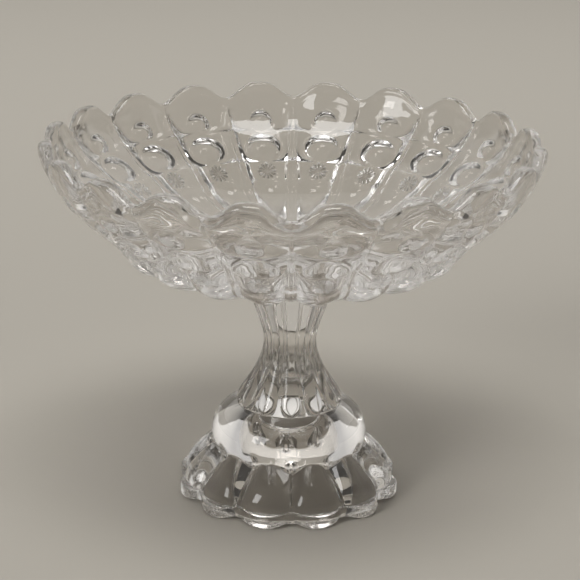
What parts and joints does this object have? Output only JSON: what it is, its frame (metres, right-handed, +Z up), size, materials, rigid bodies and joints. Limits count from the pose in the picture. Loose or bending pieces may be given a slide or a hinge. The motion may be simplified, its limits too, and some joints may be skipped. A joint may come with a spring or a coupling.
{
  "type": "pedestal bowl",
  "caption": "Clear pressed-glass centrepiece bowl with a scalloped rim, lobed panels, thumbprints and stars, on a reeded stem with a domed, hollow, lobed foot.",
  "frame": {"origin": "on the ground, under the middle of the foot ring", "axes": "+Z up along the axis of the stem and bowl, -Y towards the front"},
  "size_m": [0.2526, 0.2526, 0.191],
  "materials": {
    "clear_glass": "clear pressed glass, fire polished"
  },
  "bodies": {
    "root": {"bowl": "clear_glass", "joining_wafer": "clear_glass", "pedestal": "clear_glass"}
  },
  "joints": []
}
